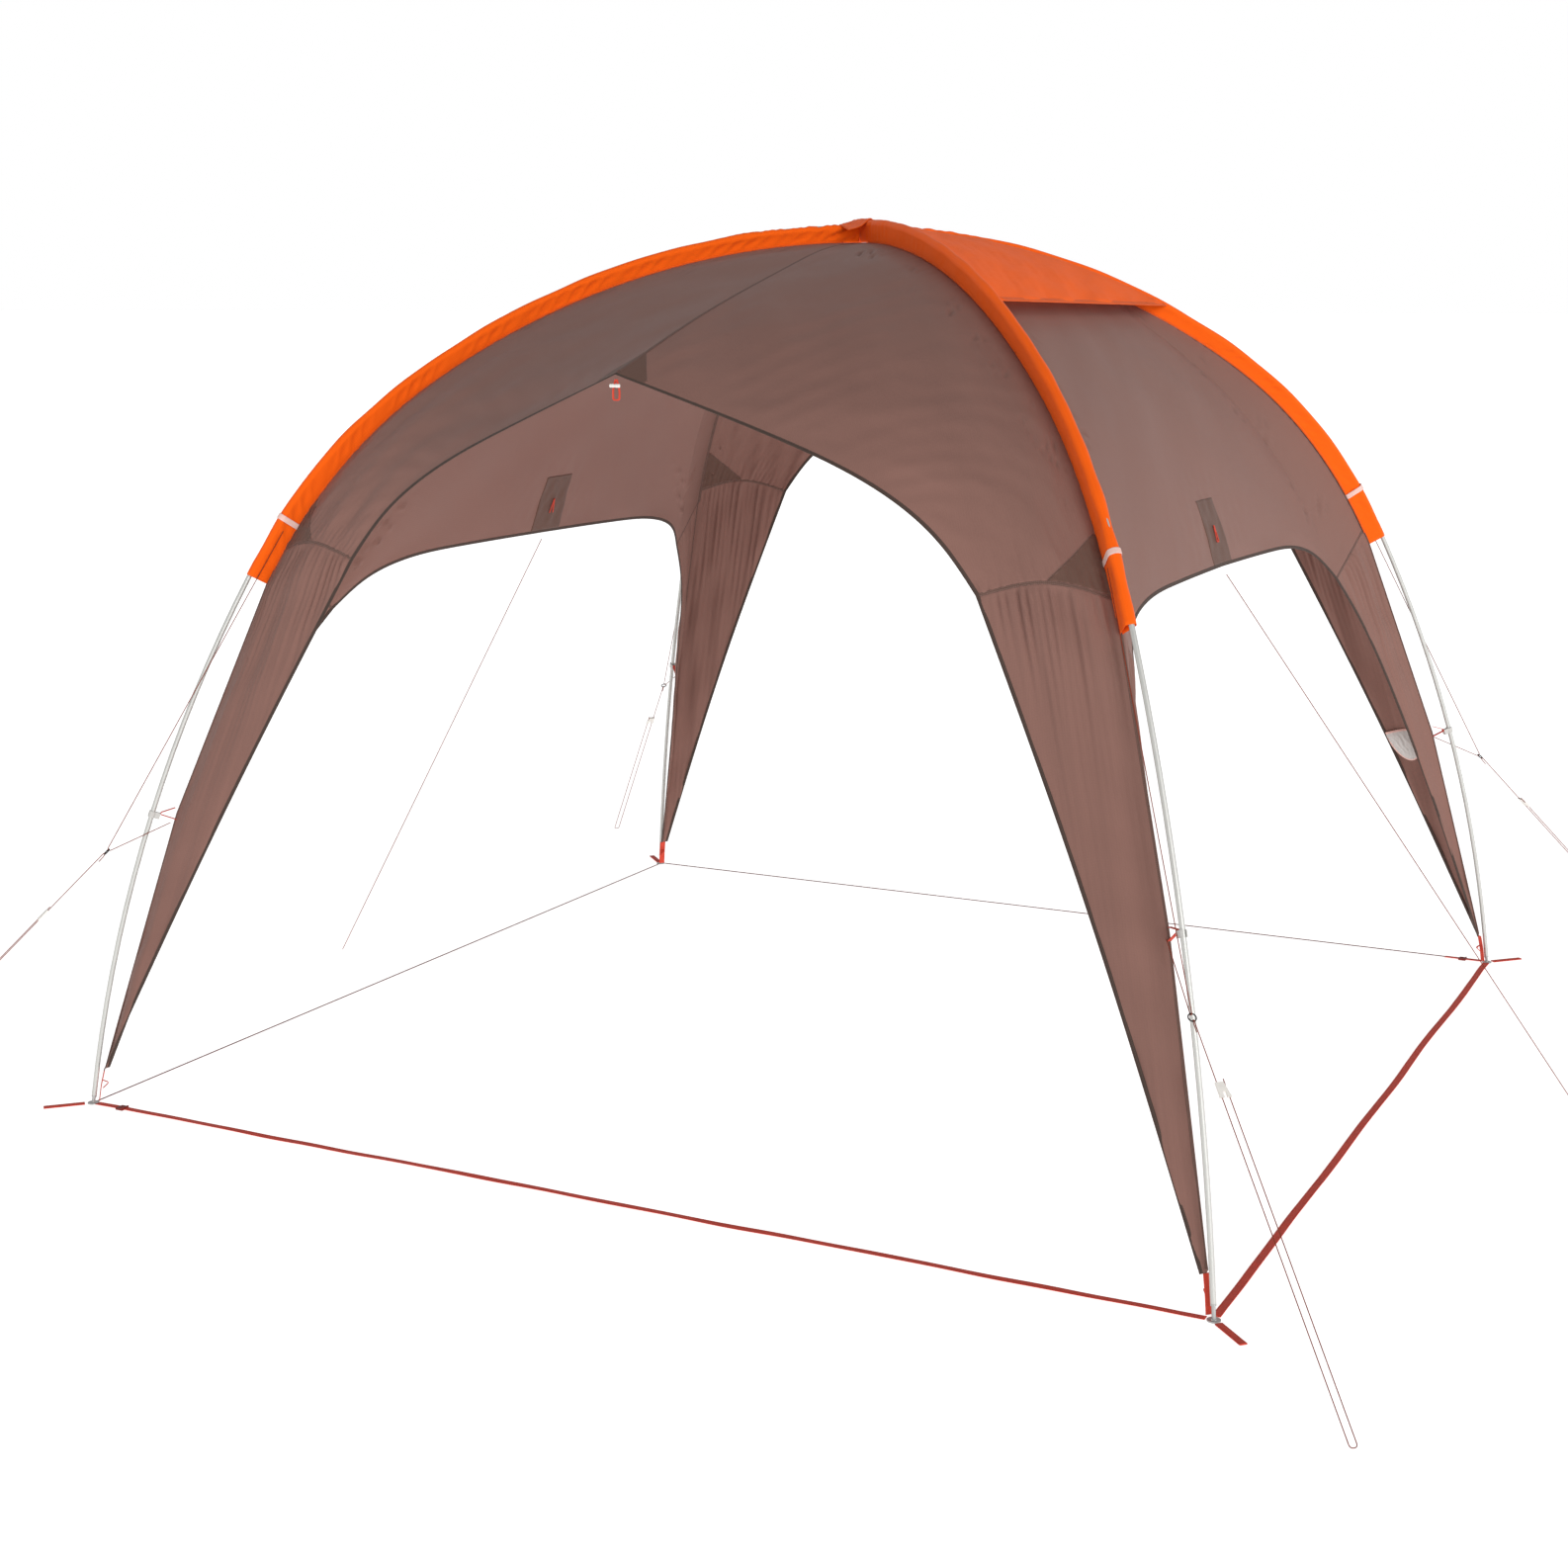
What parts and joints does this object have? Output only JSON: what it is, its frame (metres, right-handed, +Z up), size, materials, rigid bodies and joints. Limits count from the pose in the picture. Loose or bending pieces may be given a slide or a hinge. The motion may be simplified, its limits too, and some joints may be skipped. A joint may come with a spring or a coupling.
{
  "type": "tarp shelter",
  "caption": "Open-sided dome tarp shelter on crossed bent pole arches, with high arched doors, low side hems, taut guylines and ground webbing.",
  "frame": {"origin": "on the ground under the crown, at the middle of the pole feet", "axes": "+Z up, -Y out of the front door, +X towards the right low side"},
  "size_m": [4.0348, 3.9238, 2.3043],
  "materials": {
    "pole": "satin silver-white anodised tube",
    "ferrule": "bright aluminium insert",
    "shock_cord": "braided elastic",
    "pole_tip": "machined tip",
    "orange_cloth": "coated ripstop, orange",
    "brown_cloth": "coated plain-weave, warm brown, slightly translucent",
    "binding": "dark grey bias binding tape",
    "patch_cloth": "second layer of brown cloth",
    "white_webbing": "white grosgrain webbing",
    "red_webbing": "coral red flat webbing",
    "clip_plastic": "pale grey moulded plastic",
    "ring_plastic": "black ring",
    "lok_plastic": "white moulded plastic",
    "lock_plastic": "dark red moulded plastic",
    "guy_cord": "orange-brown braided cord",
    "perimeter_cord": "dark red braided cord",
    "grommet_metal": "stamped eyelet",
    "toggle": "white toggle on an orange loop",
    "mesh_cloth": "pale mesh"
  },
  "bodies": {
    "shelter": {"pole_sections_left_diagonal": "pole", "pole_sections_right_diagonal": "pole", "pole_ferrules": "ferrule", "shock_cords": "shock_cord", "pole_tips": "pole_tip", "sleeve_front_left": "orange_cloth", "sleeve_front_right": "orange_cloth", "sleeve_rear_right": "orange_cloth", "sleeve_rear_left": "orange_cloth", "apex_patch": "orange_cloth", "crown_panel_front_left": "brown_cloth", "leg_panels_front_left": "brown_cloth", "crown_panel_front_right": "brown_cloth", "leg_panels_front_right": "brown_cloth", "crown_panel_rear_right": "brown_cloth", "leg_panels_rear_right": "brown_cloth", "crown_panel_rear_left": "brown_cloth", "leg_panels_rear_left": "brown_cloth", "side_panel_left": "brown_cloth", "vent_panel_left": "orange_cloth", "side_binding_left": "binding", "side_panel_right": "brown_cloth", "vent_panel_right": "orange_cloth", "side_binding_right": "binding", "door_binding_front": "binding", "door_binding_rear": "binding", "reinforcement_patches": "patch_cloth", "sleeve_straps": "white_webbing", "pole_clips": "clip_plastic", "leg_webbing": "red_webbing", "guy_rings": "ring_plastic", "bridle_front_left": "guy_cord", "guyline_front_left": "guy_cord", "bridle_front_right": "guy_cord", "guyline_front_right": "guy_cord", "bridle_rear_right": "guy_cord", "guyline_rear_right": "guy_cord", "bridle_rear_left": "guy_cord", "guyline_rear_left": "guy_cord", "side_guyline_left": "guy_cord", "side_guyline_right": "guy_cord", "perimeter_cord_left": "perimeter_cord", "perimeter_cord_rear": "perimeter_cord", "perimeter_webbing": "red_webbing", "foot_grommets": "grommet_metal", "mesh_pocket": "mesh_cloth"},
    "line_lok_front_left": {"line_lok_front_left": "lok_plastic"},
    "stake_loop_front_left": {"stake_loop_front_left": "red_webbing"},
    "line_lok_front_right": {"line_lok_front_right": "lok_plastic"},
    "stake_loop_front_right": {"stake_loop_front_right": "red_webbing"},
    "line_lok_rear_right": {"line_lok_rear_right": "lok_plastic"},
    "stake_loop_rear_right": {"stake_loop_rear_right": "red_webbing"},
    "line_lok_rear_left": {"line_lok_rear_left": "lok_plastic"},
    "stake_loop_rear_left": {"stake_loop_rear_left": "red_webbing"},
    "peak_toggle_front": {"peak_toggle_front": "toggle"},
    "peak_toggle_rear": {"peak_toggle_rear": "toggle"},
    "pull_tab_left": {"pull_tab_left": "red_webbing"},
    "pull_tab_right": {"pull_tab_right": "red_webbing"},
    "ladder_lock_front": {"ladder_lock_front": "lock_plastic"},
    "ladder_lock_rear": {"ladder_lock_rear": "lock_plastic"}
  },
  "joints": [
    {"name": "lok_slide_front_left", "type": "slide", "parent": "shelter", "child": "line_lok_front_left", "axis": [-0.5091, -0.5091, -0.694], "range_m": [0, 0.25]},
    {"name": "stake_loop_hinge_front_left", "type": "hinge", "parent": "shelter", "child": "stake_loop_front_left", "pos_m": [-1.53343, -1.53343, 0.0023], "axis": [-0.7071, 0.7071, 0], "range_deg": [0, 80]},
    {"name": "lok_slide_front_right", "type": "slide", "parent": "shelter", "child": "line_lok_front_right", "axis": [0.5067, -0.5067, -0.6976], "range_m": [0, 0.25]},
    {"name": "stake_loop_hinge_front_right", "type": "hinge", "parent": "shelter", "child": "stake_loop_front_right", "pos_m": [1.53343, -1.53343, 0.0023], "axis": [-0.7071, -0.7071, 0], "range_deg": [0, 80]},
    {"name": "lok_slide_rear_right", "type": "slide", "parent": "shelter", "child": "line_lok_rear_right", "axis": [0.5091, 0.5091, -0.694], "range_m": [0, 0.25]},
    {"name": "stake_loop_hinge_rear_right", "type": "hinge", "parent": "shelter", "child": "stake_loop_rear_right", "pos_m": [1.53343, 1.53343, 0.0023], "axis": [0.7071, -0.7071, 0], "range_deg": [0, 80]},
    {"name": "lok_slide_rear_left", "type": "slide", "parent": "shelter", "child": "line_lok_rear_left", "axis": [-0.5041, 0.5041, -0.7013], "range_m": [0, 0.25]},
    {"name": "stake_loop_hinge_rear_left", "type": "hinge", "parent": "shelter", "child": "stake_loop_rear_left", "pos_m": [-1.53343, 1.53343, 0.0023], "axis": [0.7071, 0.7071, 0], "range_deg": [0, 80]},
    {"name": "peak_toggle_swing_front", "type": "hinge", "parent": "shelter", "child": "peak_toggle_front", "pos_m": [0, -1.328, 1.9], "axis": [1, 0, 0], "range_deg": [-40, 40]},
    {"name": "peak_toggle_swing_rear", "type": "hinge", "parent": "shelter", "child": "peak_toggle_rear", "pos_m": [0, 1.328, 1.9], "axis": [1, 0, 0], "range_deg": [-40, 40]},
    {"name": "pull_tab_swing_left", "type": "hinge", "parent": "shelter", "child": "pull_tab_left", "pos_m": [-1.0121, 0, 1.5028], "axis": [0, 1, 0], "range_deg": [0, 60]},
    {"name": "pull_tab_swing_right", "type": "hinge", "parent": "shelter", "child": "pull_tab_right", "pos_m": [1.0121, 0, 1.5028], "axis": [0, -1, 0], "range_deg": [0, 60]},
    {"name": "ladder_lock_slide_front", "type": "slide", "parent": "shelter", "child": "ladder_lock_front", "axis": [1, 0, 0], "range_m": [-0.06, 0.3]},
    {"name": "ladder_lock_slide_rear", "type": "slide", "parent": "shelter", "child": "ladder_lock_rear", "axis": [1, 0, 0], "range_m": [-0.03, 0.03]}
  ]
}
